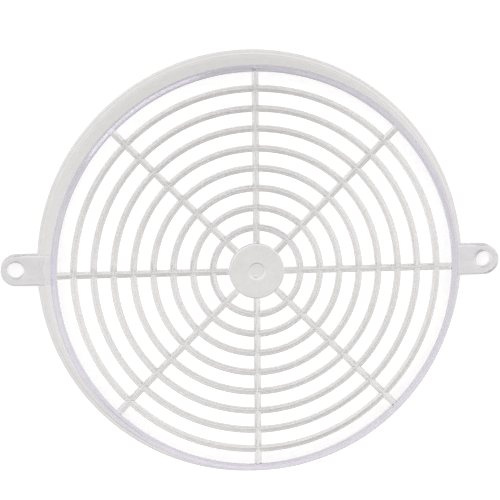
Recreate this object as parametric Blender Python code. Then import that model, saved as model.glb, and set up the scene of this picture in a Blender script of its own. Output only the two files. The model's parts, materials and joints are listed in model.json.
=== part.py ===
"""Evaporator fan guard: a clear moulded cup whose front is a grille of rings and spokes.

The guard lies on its back edge with the grille on top, as it rests on a table. The origin is on
the guard's axis in the plane of the back edge, +Z points out of the front of the grille, and the
two screw lugs lie along X. Lengths are in metres.
"""

import math

import bmesh
import bpy
from mathutils import Matrix, Vector

# Grille
FIRST_RING_RADIUS = 0.0171   # to the middle of the innermost ring
RING_PITCH = 0.0077          # from one ring to the next, and from the last ring to the rim
RING_COUNT = 8
RING_WIDTH = 0.00275
SPOKE_WIDTH = 0.00275
SPOKE_COUNT = 8
BAR_DEPTH = 0.0020           # rings and spokes, from their flat front to their narrow back
BAR_BACK_WIDTH = 0.0005
BAR_EDGE_ROUND = 0.0004      # the bars' front edges
HUB_RADIUS = 0.01075
HUB_DEPTH = 0.0025
HUB_STEP = 0.0009            # how far the hub's face stands above the bars' front
HUB_EDGE_ROUND = 0.0005      # radius of the hub's front edge
SPOKE_IN_HUB = 0.0006        # how far a spoke runs into the hub
GATE_RADIUS = 0.0026         # floor of the shallow dish where the plastic was fed in
GATE_DEPTH = 0.0005
GATE_SLOPE = 0.0008

# Cup wall
GUARD_DEPTH = 0.0215         # back edge to the hub's face
RIM_WIDTH = 0.00275          # wall at the grille
RIM_EDGE_ROUND = 0.0010      # the rim's outer front edge
BACK_WALL = 0.0013           # wall at the back edge, inside the lip
FLARE = 0.003725             # how much the outer radius grows from the grille to the back
LIP_WIDTH = 0.0013
LIP_THICKNESS = 0.0015
LIP_CHAMFER = 0.0003

# Screw lugs
LUG_REACH = 0.0083           # hole centre beyond the lip
LUG_WIDTH = 0.0119
LUG_THICKNESS = 0.0068
LUG_EDGE_CHAMFER = 0.0004
HOLE_RADIUS = 0.00335
HOLE_CUT_SPARE = 0.0020      # how far the hole's cutter stands out of the lug at each end

# Fineness of the facets
CHORD_ERROR = 0.0001         # rings
WALL_STEPS = 96
HUB_STEPS = 48
HOLE_STEPS = 32
BAR_EDGE_STEPS = 1           # facets over each front edge of a bar
RIM_EDGE_STEPS = 3
HUB_EDGE_STEPS = 2
LUG_END_STEPS = 12
LUG_ROOT_STEPS = 4
SMOOTH_ANGLE = math.radians(38)
MERGE_DISTANCE = 1e-7        # points this near each other are one

# Places that follow from the sizes
RIM_RADIUS = FIRST_RING_RADIUS + RING_COUNT * RING_PITCH
HUB_BACK_Z = GUARD_DEPTH - HUB_DEPTH
BAR_FRONT_Z = GUARD_DEPTH - HUB_STEP
BAR_BACK_Z = BAR_FRONT_Z - BAR_DEPTH
RIM_OUTER = RIM_RADIUS + RIM_WIDTH / 2
RIM_OUTER_Z = BAR_FRONT_Z - RIM_EDGE_ROUND
RIM_INNER = RIM_RADIUS - RIM_WIDTH / 2
RIM_INNER_Z = BAR_FRONT_Z - BAR_EDGE_ROUND
BACK_OUTER = RIM_OUTER + FLARE
BACK_INNER = BACK_OUTER - BACK_WALL
LIP_RADIUS = BACK_OUTER + LIP_WIDTH
HOLE_CENTRE_X = LIP_RADIUS + LUG_REACH


def remove_all_objects():
    for thing in list(bpy.data.objects):
        bpy.data.objects.remove(thing, do_unlink=True)


def clear_plastic():
    material = bpy.data.materials.new("clear_plastic")
    material.use_nodes = True
    shader = material.node_tree.nodes["Principled BSDF"]
    shader.inputs["Base Color"].default_value = (0.86, 0.85, 0.90, 1.0)
    shader.inputs["Roughness"].default_value = 0.12
    shader.inputs["Metallic"].default_value = 0.0
    shader.inputs["IOR"].default_value = 1.58
    shader.inputs["Transmission Weight"].default_value = 0.85
    return material


def finished_object(name, bm, collection):
    """Turns a bmesh into an object, with its faces pointing outwards."""
    bmesh.ops.remove_doubles(bm, verts=bm.verts, dist=MERGE_DISTANCE)
    bmesh.ops.recalc_face_normals(bm, faces=bm.faces)
    mesh = bpy.data.meshes.new(name)
    bm.to_mesh(mesh)
    bm.free()
    thing = bpy.data.objects.new(name, mesh)
    collection.objects.link(thing)
    return thing


def turned(name, outline, steps, collection, closed=True):
    """Spins an outline of (radius, height) points round Z.

    The outline starts half a step round, so that a facet and not an edge faces each spoke.
    """
    bm = bmesh.new()
    half_step = Matrix.Rotation(math.pi / steps, 3, "Z")
    points = [bm.verts.new(half_step @ Vector((r, 0, z))) for r, z in outline]
    edges = [bm.edges.new(pair) for pair in zip(points, points[1:])]
    if closed:
        edges.append(bm.edges.new((points[-1], points[0])))
    bmesh.ops.spin(bm, geom=points + edges, cent=(0, 0, 0), axis=(0, 0, 1),
                   angle=math.tau, steps=steps, use_merge=True)
    return finished_object(name, bm, collection)


def front_edge(width, rounding, steps):
    """The outer front edge of a bar, as (across, height) points from its flank to its front."""
    points = []
    for i in range(steps + 1):
        angle = math.pi / 2 * i / steps
        points.append((width / 2 - rounding * (1 - math.cos(angle)),
                       BAR_FRONT_Z - rounding * (1 - math.sin(angle))))
    return points


def inner_side(points):
    return [(-across, height) for across, height in reversed(points)]


def bar_section(width):
    """The outline of a ring or spoke: a flat front, and flanks that draw in to a narrow back."""
    edge = front_edge(width, BAR_EDGE_ROUND, BAR_EDGE_STEPS)
    half_back = BAR_BACK_WIDTH / 2
    return edge + inner_side(edge) + [(-half_back, BAR_BACK_Z), (half_back, BAR_BACK_Z)]


def ring_steps(radius):
    """Facets round a ring, kept to a multiple of the spokes so that each crossing is alike."""
    needed = math.pi / math.acos(1 - CHORD_ERROR / radius)
    return SPOKE_COUNT * math.ceil(needed / SPOKE_COUNT)


def make_rings(collection):
    for i in range(RING_COUNT):
        radius = FIRST_RING_RADIUS + i * RING_PITCH
        outline = [(radius + across, height) for across, height in bar_section(RING_WIDTH)]
        turned(f"ring_{i + 1}", outline, ring_steps(radius), collection)


def make_spokes(collection):
    """Straight bars from inside the hub's edge to the middle of the rim, where they run out."""
    inner_end = HUB_RADIUS - SPOKE_IN_HUB
    for i in range(SPOKE_COUNT):
        turn = Matrix.Rotation(math.tau * i / SPOKE_COUNT, 4, "Z")
        bm = bmesh.new()
        corners = [bm.verts.new((inner_end, y, z)) for y, z in bar_section(SPOKE_WIDTH)]
        start = bm.faces.new(corners)
        grown = bmesh.ops.extrude_face_region(bm, geom=[start])["geom"]
        moved = [v for v in grown if isinstance(v, bmesh.types.BMVert)]
        bmesh.ops.translate(bm, verts=moved, vec=(RIM_RADIUS - inner_end, 0, 0))
        bm.transform(turn)
        finished_object(f"spoke_{i + 1}", bm, collection)


def make_hub(collection):
    """A flat disc with a rounded front edge and the gate's dish in its middle."""
    floor = GUARD_DEPTH - GATE_DEPTH
    outline = [(0, floor), (GATE_RADIUS, floor), (GATE_RADIUS + GATE_SLOPE, GUARD_DEPTH)]
    for i in range(HUB_EDGE_STEPS + 1):
        angle = math.pi / 2 * (1 - i / HUB_EDGE_STEPS)
        outline.append((HUB_RADIUS - HUB_EDGE_ROUND * (1 - math.cos(angle)),
                        GUARD_DEPTH - HUB_EDGE_ROUND * (1 - math.sin(angle))))
    outline += [(HUB_RADIUS, HUB_BACK_Z), (0, HUB_BACK_Z)]
    turned("hub", outline, HUB_STEPS, collection, closed=False)


def wall_outline():
    """The cup's wall: the rim's front, flared sides that thin backwards, and a small lip."""
    outer_edge = front_edge(RIM_WIDTH, RIM_EDGE_ROUND, RIM_EDGE_STEPS)
    inner_edge = inner_side(front_edge(RIM_WIDTH, BAR_EDGE_ROUND, BAR_EDGE_STEPS))
    outline = [(RIM_RADIUS + across, height) for across, height in outer_edge + inner_edge]
    outline += [
        (BACK_INNER, 0),
        (LIP_RADIUS, 0),
        (LIP_RADIUS, LIP_THICKNESS - LIP_CHAMFER),
        (LIP_RADIUS - LIP_CHAMFER, LIP_THICKNESS),
        (BACK_OUTER - FLARE * LIP_THICKNESS / RIM_OUTER_Z, LIP_THICKNESS),
    ]
    return outline


def mid_wall_radius(height):
    """Radius of the middle of the wall at a height, where a lug's root is hidden."""
    outer = BACK_OUTER + (RIM_OUTER - BACK_OUTER) * height / RIM_OUTER_Z
    inner = BACK_INNER + (RIM_INNER - BACK_INNER) * height / RIM_INNER_Z
    return (outer + inner) / 2


def lug_loop(bm, height, inset):
    """One level of a lug: a round end about the hole, and a root that follows the wall."""
    half = LUG_WIDTH / 2 - inset
    loop = []
    for i in range(LUG_END_STEPS + 1):
        angle = math.pi * (i / LUG_END_STEPS - 0.5)
        loop.append((HOLE_CENTRE_X + half * math.cos(angle), half * math.sin(angle)))
    root = mid_wall_radius(height)
    for i in range(LUG_ROOT_STEPS + 1):
        y = half * (1 - 2 * i / LUG_ROOT_STEPS)
        loop.append((math.sqrt(root ** 2 - y ** 2), y))
    return [bm.verts.new((x, y, height)) for x, y in loop]


def make_lug(name, side, collection):
    bm = bmesh.new()
    levels = [(0, 0), (LUG_THICKNESS - LUG_EDGE_CHAMFER, 0), (LUG_THICKNESS, LUG_EDGE_CHAMFER)]
    loops = [lug_loop(bm, height, inset) for height, inset in levels]
    bm.faces.new(loops[0])
    bm.faces.new(loops[-1])
    for lower, upper in zip(loops, loops[1:]):
        count = len(lower)
        for i in range(count):
            j = (i + 1) % count
            bm.faces.new((lower[i], lower[j], upper[j], upper[i]))
    bm.transform(Matrix.Rotation(0 if side > 0 else math.pi, 4, "Z"))
    finished_object(name, bm, collection)


def make_hole_cutter(name, side, collection):
    bm = bmesh.new()
    bmesh.ops.create_cone(bm, cap_ends=True, segments=HOLE_STEPS, radius1=HOLE_RADIUS,
                          radius2=HOLE_RADIUS, depth=LUG_THICKNESS + 2 * HOLE_CUT_SPARE)
    bmesh.ops.translate(bm, verts=bm.verts, vec=(side * HOLE_CENTRE_X, 0, LUG_THICKNESS / 2))
    finished_object(name, bm, collection)


def make_lugs(joined, cut):
    for name, side in (("right", 1), ("left", -1)):
        make_lug(f"{name}_lug", side, joined)
        make_hole_cutter(f"{name}_hole", side, cut)


def guide_collection(name):
    collection = bpy.data.collections.new(name)
    bpy.context.scene.collection.children.link(collection)
    return collection


def hide_guides(collection):
    for thing in collection.objects:
        thing.hide_render = True
        thing.display_type = "WIRE"


def add_boolean(thing, name, operation, collection):
    boolean = thing.modifiers.new(name, "BOOLEAN")
    boolean.operation = operation
    boolean.operand_type = "COLLECTION"
    boolean.collection = collection
    boolean.solver = "EXACT"


def make_guard():
    joined = guide_collection("joined_forms")
    cut = guide_collection("cut_forms")
    make_rings(joined)
    make_spokes(joined)
    make_hub(joined)
    make_lugs(joined, cut)
    hide_guides(joined)
    hide_guides(cut)

    guard = turned("fan_guard", wall_outline(), WALL_STEPS, bpy.context.scene.collection)
    guard.data.materials.append(clear_plastic())
    add_boolean(guard, "join the grille and lugs", "UNION", joined)
    add_boolean(guard, "drill the screw holes", "DIFFERENCE", cut)
    guard.data.shade_smooth()
    guard.data.set_sharp_from_angle(angle=SMOOTH_ANGLE)
    return guard


remove_all_objects()
make_guard()
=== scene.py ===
# %% [markdown]
# # A clear plastic fan guard
# This notebook dresses a guard of the kind that keeps fingers out of a small evaporator fan. It is
# one clear moulding: a grille of rings and spokes, a flared wall behind it, and a screw lug on
# each side. The solid model is loaded first. Its sizes are kept, and the finer mesh made below
# stays inside its box.

# %% Load the solid model
import json
import math

import bmesh
import bpy
from mathutils import Matrix, Vector

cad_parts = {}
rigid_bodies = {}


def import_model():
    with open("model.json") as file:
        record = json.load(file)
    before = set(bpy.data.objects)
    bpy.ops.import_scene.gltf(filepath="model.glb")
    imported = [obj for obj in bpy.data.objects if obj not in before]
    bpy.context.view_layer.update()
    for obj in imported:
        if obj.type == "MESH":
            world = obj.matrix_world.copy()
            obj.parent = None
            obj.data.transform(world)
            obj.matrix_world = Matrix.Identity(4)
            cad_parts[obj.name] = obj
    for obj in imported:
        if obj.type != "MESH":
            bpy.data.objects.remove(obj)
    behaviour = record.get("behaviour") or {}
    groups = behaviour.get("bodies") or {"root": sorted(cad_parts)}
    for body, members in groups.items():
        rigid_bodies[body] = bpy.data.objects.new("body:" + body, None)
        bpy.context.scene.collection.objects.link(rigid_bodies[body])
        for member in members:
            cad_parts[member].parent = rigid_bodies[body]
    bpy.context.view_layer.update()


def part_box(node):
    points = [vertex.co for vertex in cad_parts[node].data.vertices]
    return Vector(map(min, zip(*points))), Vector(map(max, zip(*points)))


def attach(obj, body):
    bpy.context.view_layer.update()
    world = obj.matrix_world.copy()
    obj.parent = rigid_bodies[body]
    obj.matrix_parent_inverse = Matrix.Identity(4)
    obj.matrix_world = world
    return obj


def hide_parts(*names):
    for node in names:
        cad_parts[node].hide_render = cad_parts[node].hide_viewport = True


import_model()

low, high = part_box("fan_guard")
print("solid guard, mm:", [round(1000 * side, 1) for side in high - low])

# %% [markdown]
# ## Sizes
# These are the sizes of the solid model, in metres. A few details differ by a fraction of a
# millimetre: the dish is 0.2 mm deeper, the rim's inner edge is as round as its outer one, and the
# edges of the hub and the lugs are a little softer. The grille's bars share one section, and the
# rim, the wall and the lip are one turned shape. The guard lies on its back edge, so heights are
# measured from the floor.

# %% Sizes of the guard
FIRST_RING = 0.0171
RING_PITCH = 0.0077
RING_COUNT = 8
SPOKE_COUNT = 8
BAR_WIDTH = 0.00275
BAR_DEPTH = 0.0020
BAR_EDGE = 0.0004
BAR_BACK_ROUND = 0.00025
HUB_RADIUS = 0.01075
HUB_DEPTH = 0.0025
HUB_STEP = 0.0009
HUB_EDGE = 0.0006
DISH_RADIUS = 0.0034
DISH_DEPTH = 0.0007
STUB_RADIUS = 0.0009
STUB_HEIGHT = 0.0006
STUB_PLACE = (-0.00055, -0.0019, 0)

FRONT = high.z
HUB_BACK = FRONT - HUB_DEPTH
DISH_FLOOR = FRONT - DISH_DEPTH
BAR_FRONT = FRONT - HUB_STEP
RIM = FIRST_RING + RING_COUNT * RING_PITCH
RIM_EDGE = 0.0010
INSIDE_BOX = 0.00002
LIP_RADIUS = high.y - INSIDE_BOX
LIP_WIDTH = 0.0013
LIP_HEIGHT = 0.0015
BACK_OUTER = LIP_RADIUS - LIP_WIDTH
BACK_WALL = 0.0013

LUG_HALF_WIDTH = 0.00595
LUG_HEIGHT = 0.0068
LUG_EDGE = 0.0006
HOLE_X = high.x - LUG_HALF_WIDTH
HOLE_RADIUS = 0.00335
HOLE_EDGE = 0.0003

print("rim radius", round(1000 * RIM, 2), "mm, lip radius", round(1000 * LIP_RADIUS, 2), "mm")

# %% [markdown]
# ## Camera
# A camera's place can be worked out from circles: each ring becomes an ellipse in the photograph,
# and their middles drift apart with distance. The fit gives a camera 0.76 m from the hub, 11
# degrees off the guard's axis and a long lens. It is placed by its matrix and not by hand, so
# that the rings fall on the same pixels. The guard is also turned a little within the picture.

# %% Camera fitted to the rings
IMAGE_SIZE = 500
PIXEL = 0.00039
FOCAL_PIXELS = 1946
PICTURE_TURN = -0.48
TILT = math.radians(11.07)
TOWARDS = math.radians(123.6 + PICTURE_TURN)
UP_TURN = math.radians(PICTURE_TURN)
HUB_PIXEL = (256.28, 270.41)


def fitted_camera():
    away = Vector((math.sin(TILT) * math.cos(TOWARDS), math.sin(TILT) * math.sin(TOWARDS),
                   math.cos(TILT)))
    up = Matrix.Rotation(UP_TURN, 3, "Z") @ Vector((0, 1, 0))
    right = up.cross(away).normalized()
    square = Matrix((right, away.cross(right), away))
    half = IMAGE_SIZE / 2
    ray = Vector((HUB_PIXEL[0] - half, half - HUB_PIXEL[1], -FOCAL_PIXELS)).normalized()
    to_camera = Vector((0, 0, -1)).rotation_difference(ray).to_matrix() @ square

    camera = bpy.data.objects.new("camera", bpy.data.cameras.new("camera"))
    bpy.context.scene.collection.objects.link(camera)
    camera.data.lens = camera.data.sensor_width * FOCAL_PIXELS / IMAGE_SIZE
    camera.data.clip_start = 0.01
    place = Vector((0, 0, HUB_BACK)) - to_camera.transposed() @ ray * FOCAL_PIXELS * PIXEL
    camera.matrix_world = Matrix.Translation(place) @ to_camera.transposed().to_4x4()
    return camera


camera = fitted_camera()
bpy.context.scene.camera = camera
print("camera at, mm:", [round(1000 * c) for c in camera.matrix_world.translation])

# %% [markdown]
# ## Building node trees from a script
# Rings, spokes, wall and hub all follow rules, so Geometry Nodes make them. These helpers start a
# tree with named inputs, add a node with its settings, and turn the result into a plain mesh. A
# modifier keeps each input under the socket's identifier, so the names are looked up first.
# Points are merged when they are nearer than a small distance, which is a little larger after a
# sweep and after the cut.

# %% Helpers for Geometry Nodes
SAME_POINT = 1e-7
SAME_AFTER_SWEEP = 1e-6
SAME_AFTER_CUT = 2e-6


def new_tree(name, inputs):
    tree = bpy.data.node_groups.new(name, "GeometryNodeTree")
    tree.interface.new_socket("Geometry", in_out="INPUT", socket_type="NodeSocketGeometry")
    for label, kind in inputs.items():
        tree.interface.new_socket(label, in_out="INPUT", socket_type="NodeSocket" + kind)
    tree.interface.new_socket("Geometry", in_out="OUTPUT", socket_type="NodeSocketGeometry")
    return tree


def add_node(tree, kind, inputs=None, **settings):
    """Adds a node. Each input takes a plain value or another node's output."""
    node = tree.nodes.new(kind)
    for name, value in settings.items():
        setattr(node, name, value)
    for key, value in (inputs or {}).items():
        if isinstance(value, bpy.types.NodeSocket):
            tree.links.new(value, node.inputs[key])
        else:
            node.inputs[key].default_value = value
    return node


def calculate(tree, operation, first, second):
    node = add_node(tree, "ShaderNodeMath", {0: first, 1: second}, operation=operation)
    return node.outputs[0]


def open_edges(mesh):
    bm = bmesh.new()
    bm.from_mesh(mesh)
    count = sum(1 for edge in bm.edges if not edge.is_manifold)
    bm.free()
    return count


def plain_mesh(thing):
    """Turns what the modifiers make into the object's own mesh, with its faces outwards."""
    depsgraph = bpy.context.evaluated_depsgraph_get()
    mesh = bpy.data.meshes.new_from_object(thing.evaluated_get(depsgraph))
    thing.modifiers.clear()
    thing.data = mesh
    bm = bmesh.new()
    bm.from_mesh(mesh)
    bmesh.ops.remove_doubles(bm, verts=bm.verts, dist=SAME_POINT)
    bmesh.ops.recalc_face_normals(bm, faces=bm.faces)
    bm.to_mesh(mesh)
    bm.free()


def run_tree(thing, tree, values):
    """Gives a tree its inputs by name, runs it on the object and keeps what it makes."""
    nodes = thing.modifiers.new("nodes", "NODES")
    nodes.node_group = tree
    for item in tree.interface.items_tree:
        if item.in_out == "INPUT" and item.name in values:
            nodes[item.identifier] = values[item.name]
    plain_mesh(thing)


def made_by(tree, name, section, values, collection, loop=True):
    """Runs a tree on a section drawn as points (across, up), joined in a line or a loop."""
    mesh = bpy.data.meshes.new(name)
    edges = [(i, i + 1) for i in range(len(section) - 1)]
    if loop:
        edges.append((len(section) - 1, 0))
    mesh.from_pydata([(across, -up, 0) for across, up in section], edges, [])
    thing = bpy.data.objects.new(name, mesh)
    collection.objects.link(thing)
    run_tree(thing, tree, values)
    print(name, len(thing.data.polygons), "faces,", open_edges(thing.data), "open edges")
    return thing


def parts_bin(name):
    collection = bpy.data.collections.new(name)
    bpy.context.scene.collection.children.link(collection)
    return collection


joined_forms = parts_bin("joined forms")
drilled_forms = parts_bin("drilled forms")

# %% [markdown]
# ## One tree for everything turned
# A ring, the wall and the hub are all one section swept round the axis. The tree puts circles of
# growing radius on a row of points, realizes them, and only then sweeps the section along them,
# so that every ring keeps the same width. Spinning a mesh would do as well, but this way one
# number changes the count or the pitch.

# %% Tree that turns a section round the axis
def turning_tree():
    tree = new_tree("turned round the axis", {
        "Count": "Int", "First Radius": "Float", "Pitch": "Float", "Height": "Float",
        "Steps": "Int"})
    given = add_node(tree, "NodeGroupInput").outputs
    start = add_node(tree, "ShaderNodeCombineXYZ", {"Z": given["Height"]})
    row = add_node(tree, "GeometryNodeMeshLine", {
        "Count": given["Count"], "Start Location": start.outputs[0], "Offset": (0, 0, 0)})
    index = add_node(tree, "GeometryNodeInputIndex").outputs[0]
    growth = calculate(tree, "MULTIPLY", index, given["Pitch"])
    radius = calculate(tree, "ADD", growth, given["First Radius"])
    size = add_node(tree, "ShaderNodeCombineXYZ", {"X": radius, "Y": radius, "Z": 1.0})
    circle = add_node(tree, "GeometryNodeCurvePrimitiveCircle", {
        "Resolution": given["Steps"], "Radius": 1.0})
    circles = add_node(tree, "GeometryNodeInstanceOnPoints", {
        "Points": row.outputs[0], "Instance": circle.outputs[0], "Scale": size.outputs[0]})
    paths = add_node(tree, "GeometryNodeRealizeInstances", {0: circles.outputs[0]})
    upright = add_node(tree, "GeometryNodeSetCurveNormal", {"Curve": paths.outputs[0]},
                       mode="Z_UP")
    section = add_node(tree, "GeometryNodeMeshToCurve", {"Mesh": given["Geometry"]})
    swept = add_node(tree, "GeometryNodeCurveToMesh", {
        "Curve": upright.outputs[0], "Profile Curve": section.outputs[0]})
    closed = add_node(tree, "GeometryNodeMergeByDistance", {
        "Geometry": swept.outputs[0], "Distance": SAME_AFTER_SWEEP})
    add_node(tree, "NodeGroupOutput", {"Geometry": closed.outputs[0]})
    return tree


turned = turning_tree()

# %% [markdown]
# ## The bars' section
# In the photograph each bar has a lighter and a darker side, and its outlines show where it is
# widest. Both point to the same section: a flat front with softened edges, and flanks that draw
# in to a narrow back, so that the moulding leaves its mould. Its depth is a guess. Heights are
# measured from the front. Two extra points near the ends of each straight side keep its shading
# flat.

# %% Section of a bar
NEAR_END = 0.04
FLANK_ANGLE = -36


def between(first, last, share):
    return tuple(a + (b - a) * share for a, b in zip(first, last))


def held(first, last):
    return [between(first, last, NEAR_END), between(first, last, 1 - NEAR_END)]


def arc(across, up, radius, first, last, steps):
    """Points round (across, up), from one angle to another in degrees."""
    angles = [math.radians(first + (last - first) * i / steps) for i in range(steps + 1)]
    return [(across + radius * math.cos(a), up + radius * math.sin(a)) for a in angles]


def inner_side(points):
    return [(-across, up) for across, up in reversed(points)]


def bar_outline():
    back = arc(0, BAR_BACK_ROUND - BAR_DEPTH, BAR_BACK_ROUND, -90, FLANK_ANGLE, 4)
    edge = arc(BAR_WIDTH / 2 - BAR_EDGE, -BAR_EDGE, BAR_EDGE, FLANK_ANGLE, 90, 6)
    outer = back[1:] + held(back[-1], edge[0]) + edge
    front = held(edge[-1], inner_side(edge)[0])
    return [back[0]] + outer + front + inner_side(outer)


bar_section = bar_outline()

# %% Rings
made_by(turned, "rings", bar_section, {
    "Count": RING_COUNT, "First Radius": FIRST_RING, "Pitch": RING_PITCH, "Height": BAR_FRONT,
    "Steps": 240}, joined_forms)

# %% [markdown]
# ## Rim and flared wall
# The wall is turned like a ring. At the front it is as wide as a bar, with softer edges. Behind
# that it flares outwards and thins to half, and a small lip ends it where the back edge meets the
# fan's plate. Its section is drawn about the rim's radius.

# %% Section of the wall
def wall_section():
    half = BAR_WIDTH / 2
    edge_up = BAR_FRONT - RIM_EDGE
    outer = arc(half - RIM_EDGE, edge_up, RIM_EDGE, 10, 90, 9)
    inner = arc(RIM_EDGE - half, edge_up, RIM_EDGE, 90, 195, 9)
    foot_edge = 0.0002
    inner_foot = (BACK_OUTER - BACK_WALL - RIM, foot_edge)
    outer_foot = (BACK_OUTER - RIM, 0)
    lip_share = 1 - LIP_HEIGHT / outer[0][1]
    lip_root = between(outer[0], outer_foot, lip_share)
    lip_outer = LIP_RADIUS - RIM
    soft, corner = 0.0003, 0.0001
    lip = [
        (lip_outer - soft, 0),
        (lip_outer - corner, corner),
        (lip_outer, soft),
        (lip_outer, LIP_HEIGHT - soft),
        (lip_outer - corner, LIP_HEIGHT - corner),
        (lip_outer - soft, LIP_HEIGHT),
        (lip_root[0] + soft, LIP_HEIGHT),
    ]
    above_lip = [between(outer[0], outer_foot, share)
                 for share in (lip_share - 0.015, lip_share - NEAR_END, NEAR_END)]
    front = held(outer[-1], inner[0])
    inside = held(inner[-1], inner_foot) + [inner_foot, (inner_foot[0] + foot_edge, 0)]
    return outer + front + inner + inside + lip + above_lip


made_by(turned, "wall", wall_section(), {
    "Count": 1, "First Radius": RIM, "Pitch": 0.0, "Height": 0.0, "Steps": 288}, joined_forms)

# %% [markdown]
# ## Hub
# The hub is a plain disc with a softened edge. The plastic was fed in at its middle, which leaves
# a shallow dish and, a little off its centre, the stub where the feed broke away. The disc and
# its dish are one turned section that starts and ends on the axis. Points close beside the dish
# and the edge keep the face between them flat in the light.

# %% Hub disc with its dish
def hub_section():
    corner, brim = 0.0002, 0.00005
    base = [(0, DISH_FLOOR), (DISH_RADIUS - 0.0009, DISH_FLOOR)]
    foot = arc(DISH_RADIUS - 0.0006, DISH_FLOOR + corner, corner, -90, -45, 3)
    brow = [(DISH_RADIUS - brim, FRONT - brim), (DISH_RADIUS + brim, FRONT)]
    flat = [(DISH_RADIUS + corner, FRONT), (HUB_RADIUS - HUB_EDGE - 0.0003, FRONT)]
    side = arc(HUB_RADIUS - HUB_EDGE, FRONT - HUB_EDGE, HUB_EDGE, 90, 0, 6)
    back = [(HUB_RADIUS, HUB_BACK + corner), (HUB_RADIUS - corner, HUB_BACK), (0, HUB_BACK)]
    return base + foot + brow + flat + side + back


def about_hub(points):
    """Moves a section from the axis to the small circle that the turning tree sweeps."""
    return [(radius - HUB_RADIUS, height) for radius, height in points]


once_round_hub = {
    "Count": 1, "First Radius": HUB_RADIUS, "Pitch": 0.0, "Height": 0.0, "Steps": 96}
made_by(turned, "hub", about_hub(hub_section()), once_round_hub, joined_forms, loop=False)

# %% Broken-off feed stub in the dish
QUARTER = math.pi / 2


def stub_section():
    steps, root = 6, 0.0003
    dome = [(STUB_RADIUS * math.cos(QUARTER * i / steps),
             DISH_FLOOR + STUB_HEIGHT * math.sin(QUARTER * i / steps)) for i in range(steps)]
    foot = DISH_FLOOR - root
    return [(0, foot), (STUB_RADIUS, foot)] + dome + [(0, DISH_FLOOR + STUB_HEIGHT)]


stub = made_by(turned, "stub", about_hub(stub_section()), {**once_round_hub, "Steps": 24},
               joined_forms, loop=False)
stub.data.transform(Matrix.Translation(STUB_PLACE))

# %% [markdown]
# ## Spokes
# The spokes carry the rings. Each is the same bar on a straight line from the hub to the rim, and
# both ends are rounded noses: the inner one sinks into the hub, the outer one stands a little
# proud of the rim's soft edge. The tree lays points closer together at both ends of the line and
# shrinks the section over them, like the slices of a ball, then turns copies round the axis. The
# last slice is small but not a point, so that it can be capped.

# %% Tree that lays spokes round the hub
LAST_SLICE = 0.985
INTO_HUB = 0.0020
INTO_RIM = 0.0010
INNER_NOSE = 0.0032


def spoke_tree():
    tree = new_tree("spokes round the hub", {
        "Count": "Int", "Inner End": "Float", "Outer End": "Float", "Inner Nose": "Float",
        "Outer Nose": "Float", "Nose Steps": "Int", "Height": "Float"})
    given = add_node(tree, "NodeGroupInput").outputs
    one_nose = calculate(tree, "ADD", given["Nose Steps"], 1.0)
    count = calculate(tree, "MULTIPLY", one_nose, 2.0)
    line = add_node(tree, "GeometryNodeMeshLine", {"Count": count, "Offset": (0.001, 0, 0)})
    index = add_node(tree, "GeometryNodeInputIndex").outputs[0]
    last_inner = calculate(tree, "ADD", given["Nose Steps"], 0.5)
    is_outer = calculate(tree, "GREATER_THAN", index, last_inner)
    step = calculate(tree, "SUBTRACT", calculate(tree, "SUBTRACT", index, given["Nose Steps"]),
                     is_outer)
    share = calculate(tree, "DIVIDE", step, given["Nose Steps"])
    angle = calculate(tree, "MULTIPLY", share, QUARTER * LAST_SLICE)
    inner_start = calculate(tree, "ADD", given["Inner End"], given["Inner Nose"])
    outer_start = calculate(tree, "SUBTRACT", given["Outer End"], given["Outer Nose"])
    nose = add_node(tree, "ShaderNodeMix", {
        "Factor": is_outer, "A": given["Inner Nose"], "B": given["Outer Nose"]})
    start = add_node(tree, "ShaderNodeMix", {
        "Factor": is_outer, "A": inner_start, "B": outer_start})
    along_nose = calculate(tree, "MULTIPLY", nose.outputs["Result"],
                           calculate(tree, "SINE", angle, 0.0))
    x = calculate(tree, "ADD", start.outputs["Result"], along_nose)
    thinned = calculate(tree, "COSINE", angle, 0.0)
    place = add_node(tree, "ShaderNodeCombineXYZ", {"X": x, "Z": given["Height"]})
    laid = add_node(tree, "GeometryNodeSetPosition", {
        "Geometry": line.outputs[0], "Position": place.outputs[0]})
    path = add_node(tree, "GeometryNodeMeshToCurve", {"Mesh": laid.outputs[0]})
    upright = add_node(tree, "GeometryNodeSetCurveNormal", {"Curve": path.outputs[0]},
                       mode="Z_UP")
    section = add_node(tree, "GeometryNodeMeshToCurve", {"Mesh": given["Geometry"]})
    spoke = add_node(tree, "GeometryNodeCurveToMesh", {
        "Curve": upright.outputs[0], "Profile Curve": section.outputs[0],
        "Scale": thinned, "Fill Caps": True})
    spots = add_node(tree, "GeometryNodeMeshLine", {
        "Count": given["Count"], "Offset": (0, 0, 0)})
    turn = calculate(tree, "DIVIDE", calculate(tree, "MULTIPLY", index, math.tau),
                     given["Count"])
    spin = add_node(tree, "FunctionNodeAxisAngleToRotation", {"Axis": (0, 0, 1), "Angle": turn})
    copies = add_node(tree, "GeometryNodeInstanceOnPoints", {
        "Points": spots.outputs[0], "Instance": spoke.outputs[0], "Rotation": spin.outputs[0]})
    solid = add_node(tree, "GeometryNodeRealizeInstances", {0: copies.outputs[0]})
    add_node(tree, "NodeGroupOutput", {"Geometry": solid.outputs[0]})
    return tree


made_by(spoke_tree(), "spokes", bar_section, {
    "Count": SPOKE_COUNT, "Inner End": HUB_RADIUS - INTO_HUB, "Outer End": RIM + INTO_RIM,
    "Inner Nose": INNER_NOSE, "Outer Nose": BAR_WIDTH / 2, "Nose Steps": 8,
    "Height": BAR_FRONT}, joined_forms)

# %% [markdown]
# ## Screw lugs
# The lugs are flat tabs with round ends, thick enough to take a screw's pull. Each is built as a
# stack of outlines: the upper ones step inwards and give the soft top edge. The root follows the
# middle of the flared wall, which draws in towards the front, so it ends inside the plastic and
# leaves no step.

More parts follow.
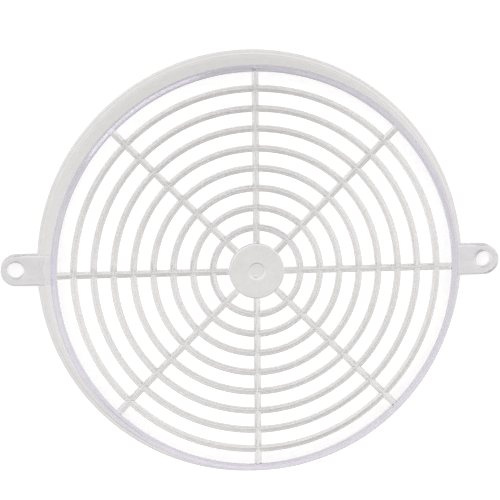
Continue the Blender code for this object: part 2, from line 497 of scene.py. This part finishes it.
# %% Lug as a stack of outlines
END_STEPS = 32
ROOT_STEPS = 12
EDGE_STEPS = 5
WALL_DRAWS_IN = 0.0046
LUG_FOOT_EDGE = 0.00015


def lug_outline(height, inset):
    half = LUG_HALF_WIDTH - inset
    end = [(HOLE_X + half * math.sin(math.pi * i / END_STEPS),
            -half * math.cos(math.pi * i / END_STEPS)) for i in range(END_STEPS + 1)]
    root_radius = BACK_OUTER - BACK_WALL / 2 - WALL_DRAWS_IN * height / BAR_FRONT
    ys = [half * (1 - 2 * i / ROOT_STEPS) for i in range(ROOT_STEPS + 1)]
    root = [(math.sqrt(root_radius ** 2 - y ** 2), y) for y in ys]
    return [(x, y, height) for x, y in end + root]


def make_lug(name, side, collection):
    edge_up = LUG_HEIGHT - LUG_EDGE
    levels = [(0.0, LUG_FOOT_EDGE), (LUG_FOOT_EDGE, 0.0), (edge_up, 0.0)]
    for i in range(1, EDGE_STEPS + 1):
        angle = QUARTER * i / EDGE_STEPS
        levels.append((edge_up + LUG_EDGE * math.sin(angle), LUG_EDGE * (1 - math.cos(angle))))
    bm = bmesh.new()
    loops = [[bm.verts.new(point) for point in lug_outline(*level)] for level in levels]
    for lower, upper in zip(loops, loops[1:]):
        for i in range(len(lower)):
            j = (i + 1) % len(lower)
            bm.faces.new((lower[i], lower[j], upper[j], upper[i]))
    bm.faces.new(loops[0])
    bm.faces.new(loops[-1])
    bm.transform(Matrix.Rotation(0 if side > 0 else math.pi, 4, "Z"))
    bmesh.ops.recalc_face_normals(bm, faces=bm.faces)
    mesh = bpy.data.meshes.new(name)
    bm.to_mesh(mesh)
    bm.free()
    collection.objects.link(bpy.data.objects.new(name, mesh))


make_lug("right lug", 1, joined_forms)
make_lug("left lug", -1, joined_forms)

# %% Drill for the screw holes
def drill_section():
    steps, beyond = 4, 0.002
    soft = HOLE_EDGE
    wide = HOLE_RADIUS + soft
    angles = [QUARTER * i / steps for i in range(steps + 1)]
    tip = [(0, -beyond), (wide, -beyond), (wide, 0)]
    low_edge = [(wide - soft * math.sin(a), soft - soft * math.cos(a)) for a in angles[1:]]
    high_edge = [(wide - soft * math.cos(a), LUG_HEIGHT - soft + soft * math.sin(a))
                 for a in angles]
    top = LUG_HEIGHT + beyond
    return tip + low_edge + high_edge + [(wide, top), (0, top)]


for side in (1, -1):
    drill = made_by(turned, "drill", about_hub(drill_section()), {**once_round_hub, "Steps": 64},
                    drilled_forms, loop=False)
    drill.data.transform(Matrix.Translation((side * HOLE_X, 0, 0)))

# %% [markdown]
# ## One moulding
# Light passes through every piece, so any face left inside would show. The forms are therefore
# joined into one closed skin, and the holes are cut out of it. The Manifold solver is quick and
# always gives a watertight result, where overlapping pieces would leave ghosts in the plastic.

# %% Join the forms and drill the holes
def moulding_tree():
    tree = new_tree("moulded in one", {
        "Joined": "Collection", "Drilled": "Collection", "Plastic": "Material"})
    given = add_node(tree, "NodeGroupInput").outputs
    joined = add_node(tree, "GeometryNodeCollectionInfo", {
        "Collection": given["Joined"], "Separate Children": True})
    drilled = add_node(tree, "GeometryNodeCollectionInfo", {
        "Collection": given["Drilled"], "Separate Children": True})
    union = add_node(tree, "GeometryNodeMeshBoolean", {"Mesh 2": joined.outputs[0]},
                     operation="UNION", solver="MANIFOLD")
    cut = add_node(tree, "GeometryNodeMeshBoolean", {
        "Mesh 1": union.outputs[0], "Mesh 2": drilled.outputs[0]},
        operation="DIFFERENCE", solver="MANIFOLD")
    merged = add_node(tree, "GeometryNodeMergeByDistance", {
        "Geometry": cut.outputs[0], "Distance": SAME_AFTER_CUT})
    smooth = add_node(tree, "GeometryNodeSetShadeSmooth", {0: merged.outputs[0]})
    solid = add_node(tree, "GeometryNodeRealizeInstances", {0: smooth.outputs[0]})
    finished = add_node(tree, "GeometryNodeSetMaterial", {
        "Geometry": solid.outputs[0], "Material": given["Plastic"]})
    add_node(tree, "NodeGroupOutput", {"Geometry": finished.outputs[0]})
    return tree


# %% [markdown]
# ## Clear plastic
# The real guard looks like clear polycarbonate. Thin places look pale grey, and the rim, where one
# looks down the whole height of the wall, turns lilac. That is colour held in the volume, so the
# material lets light through and absorbs a little of it on the way. The grille is slightly matt
# and the wall is polished. Mottling in colour and shine and faint flow marks keep the plastic
# from looking like drawn glass.

# %% Material of the guard
REFRACTIVE_INDEX = 1.58
DARKER_TINT = (0.94, 0.93, 0.905, 1)
LIGHTER_TINT = (1.0, 0.99, 0.965, 1)
GRILLE_ROUGHNESS = 0.15
WALL_ROUGHNESS = 0.04
PATCH_ROUGHNESS = 0.05
LILAC = (0.62, 0.55, 0.80, 1)
ABSORPTION = 20.0
SHARP_CORNER = math.radians(35)


def clear_plastic():
    material = bpy.data.materials.new("clear_plastic")
    material.use_nodes = True
    tree = material.node_tree
    shader = tree.nodes["Principled BSDF"]
    output = tree.nodes["Material Output"]
    shader.inputs["IOR"].default_value = REFRACTIVE_INDEX
    shader.inputs["Transmission Weight"].default_value = 1.0
    place = add_node(tree, "ShaderNodeTexCoord").outputs["Object"]

    mottling = add_node(tree, "ShaderNodeTexNoise", {
        "Vector": place, "Scale": 260.0, "Detail": 3.0, "Roughness": 0.55})
    patches = add_node(tree, "ShaderNodeMapRange", {
        "Value": mottling.outputs["Fac"], "From Min": 0.35, "From Max": 0.65})
    tint = add_node(tree, "ShaderNodeMix", {
        "Factor": patches.outputs["Result"], "A": DARKER_TINT, "B": LIGHTER_TINT},
        data_type="RGBA")
    tree.links.new(tint.outputs["Result"], shader.inputs["Base Color"])

    xyz = add_node(tree, "ShaderNodeSeparateXYZ", {0: place}).outputs
    squares = [calculate(tree, "POWER", xyz[axis], 2.0) for axis in "XY"]
    from_axis = calculate(tree, "SQRT", calculate(tree, "ADD", *squares), 0.0)
    matt = add_node(tree, "ShaderNodeMapRange", {
        "Value": from_axis, "From Min": RIM - BAR_WIDTH, "From Max": RIM - BAR_WIDTH / 2,
        "To Min": GRILLE_ROUGHNESS, "To Max": WALL_ROUGHNESS})
    patchy = calculate(tree, "MULTIPLY", patches.outputs["Result"], PATCH_ROUGHNESS)
    tree.links.new(calculate(tree, "ADD", matt.outputs["Result"], patchy),
                   shader.inputs["Roughness"])

    flow = add_node(tree, "ShaderNodeTexNoise", {
        "Vector": place, "Scale": 420.0, "Detail": 2.0, "Distortion": 0.6})
    bump = add_node(tree, "ShaderNodeBump", {
        "Height": flow.outputs["Fac"], "Strength": 0.1, "Distance": 0.0001})
    tree.links.new(bump.outputs["Normal"], shader.inputs["Normal"])

    depth = add_node(tree, "ShaderNodeVolumeAbsorption", {
        "Color": LILAC, "Density": ABSORPTION})
    tree.links.new(depth.outputs[0], output.inputs["Volume"])
    return material


def fine_guard():
    thing = bpy.data.objects.new("guard", bpy.data.meshes.new("guard"))
    bpy.context.scene.collection.objects.link(thing)
    run_tree(thing, moulding_tree(), {
        "Joined": joined_forms, "Drilled": drilled_forms, "Plastic": clear_plastic()})
    thing.data.set_sharp_from_angle(angle=SHARP_CORNER)
    for collection in (joined_forms, drilled_forms):
        for form in list(collection.objects):
            bpy.data.objects.remove(form)
        bpy.data.collections.remove(collection)
    return thing


guard = fine_guard()
triangles = sum(len(face.vertices) - 2 for face in guard.data.polygons)
print("guard:", triangles, "triangles,", open_edges(guard.data), "open edges")

# %% Put the fine guard in place of the solid
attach(guard, "root")
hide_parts("fan_guard")

# %% [markdown]
# ## Floor and studio
# The photograph is a cut-out on white, but the clear plastic hints at what stood round it: a pale
# studio with a darker side beyond the top of the picture, a backdrop that greys towards that side,
# and a soft ring of light with the dark lens in its middle. The floor is white to the camera and
# still takes the guard's shadow. Rays that bend through the plastic go past it to the studio, and
# this is what gives the bars their darker sides.

# %% Floor
FLOOR_REACH = 3.0
FLOOR_GREY = (0.80, 0.80, 0.80, 1)
FLOOR_GLOW = 0.52


def kinds_of_ray(tree):
    """Tells what the camera sees directly from what reaches it through the plastic."""
    ray = add_node(tree, "ShaderNodeLightPath").outputs
    bent = calculate(tree, "MAXIMUM", ray["Is Transmission Ray"], ray["Is Glossy Ray"])
    return ray["Is Camera Ray"], bent


def floor_material():
    material = bpy.data.materials.new("pale floor")
    material.use_nodes = True
    tree = material.node_tree
    shader = tree.nodes["Principled BSDF"]
    output = tree.nodes["Material Output"]
    shader.inputs["Base Color"].default_value = FLOOR_GREY
    shader.inputs["Roughness"].default_value = 0.9
    shader.inputs["Specular IOR Level"].default_value = 0.0
    direct, bent = kinds_of_ray(tree)
    glow = add_node(tree, "ShaderNodeEmission", {
        "Color": (1, 1, 1, 1), "Strength": calculate(tree, "MULTIPLY", direct, FLOOR_GLOW)})
    lit = add_node(tree, "ShaderNodeAddShader", {0: shader.outputs[0], 1: glow.outputs[0]})
    clear = add_node(tree, "ShaderNodeBsdfTransparent")
    mixed = add_node(tree, "ShaderNodeMixShader", {
        0: bent, 1: lit.outputs[0], 2: clear.outputs[0]})
    tree.links.new(mixed.outputs[0], output.inputs["Surface"])
    return material


corners = [(FLOOR_REACH * x, FLOOR_REACH * y, 0) for x, y in ((-1, -1), (1, -1), (1, 1), (-1, 1))]
floor_mesh = bpy.data.meshes.new("floor")
floor_mesh.from_pydata(corners, [], [(0, 1, 2, 3)])
floor_mesh.materials.append(floor_material())
floor = bpy.data.objects.new("floor", floor_mesh)
bpy.context.scene.collection.objects.link(floor)

# %% Studio round the guard
DARK_SIDE = (-0.156, 0.828, 0.539)
LENS_SIDE = (-0.006, 0.074, 0.997)
BENT_LEVEL = 0.93
PLAIN_LEVEL = 0.92
SEEN_LEVEL = 1.0


def studio():
    world = bpy.data.worlds.new("studio")
    world.use_nodes = True
    tree = world.node_tree
    background = tree.nodes["Background"]
    direction = add_node(tree, "ShaderNodeTexCoord").outputs["Generated"]
    xyz = add_node(tree, "ShaderNodeSeparateXYZ", {0: direction}).outputs

    def rise(value, first, last, height):
        """A soft step from 0 up to a height."""
        return add_node(tree, "ShaderNodeMapRange", {
            "Value": value, "From Min": first, "From Max": last, "To Max": height},
            interpolation_type="SMOOTHSTEP").outputs["Result"]

    def towards(side):
        return add_node(tree, "ShaderNodeVectorMath", {0: direction, 1: side},
                        operation="DOT_PRODUCT").outputs["Value"]

    dark_side = rise(towards(DARK_SIDE), first=0.0, last=1.16, height=0.54)
    lens = rise(towards(LENS_SIDE), first=0.915, last=0.956, height=0.50)
    soft_ring = rise(xyz["Z"], first=0.80, last=0.95, height=0.35)
    in_backdrop = rise(xyz["Z"], first=-0.64, last=-0.91, height=1.0)
    greyed = rise(xyz["Y"], first=-0.65, last=1.0, height=0.72)
    backdrop = calculate(tree, "MULTIPLY", in_backdrop, greyed)
    dimmed = calculate(tree, "ADD", calculate(tree, "ADD", dark_side, lens), backdrop)
    bright = calculate(tree, "ADD", soft_ring, BENT_LEVEL)
    direct, bent = kinds_of_ray(tree)
    level = add_node(tree, "ShaderNodeMix", {
        "Factor": bent, "A": PLAIN_LEVEL, "B": calculate(tree, "SUBTRACT", bright, dimmed)})
    seen = add_node(tree, "ShaderNodeMix", {
        "Factor": direct, "A": level.outputs["Result"], "B": SEEN_LEVEL})
    tree.links.new(seen.outputs["Result"], background.inputs["Color"])
    return world


bpy.context.scene.world = studio()


def soft_lamp(name, place, size, power):
    lamp = bpy.data.objects.new(name, bpy.data.lights.new(name, "AREA"))
    lamp.data.size = size
    lamp.data.energy = power
    lamp.location = place
    lamp.rotation_euler = (-Vector(place)).to_track_quat("-Z", "Y").to_euler()
    bpy.context.scene.collection.objects.link(lamp)


soft_lamp("softbox above", place=(-0.5, 0.7, 1.3), size=0.9, power=4.0)
bpy.context.scene.view_settings.view_transform = "Standard"

# %% [markdown]
# ## Long paths of light
# Light that enters the rim runs down inside the wall and is thrown from face to face many times
# before it gets out. With the usual limits it would be dropped on the way, and the rim would
# render too dark.

# %% Let light bounce long enough
cycles = bpy.context.scene.cycles
cycles.max_bounces = 32
cycles.glossy_bounces = 24
cycles.transmission_bounces = 24
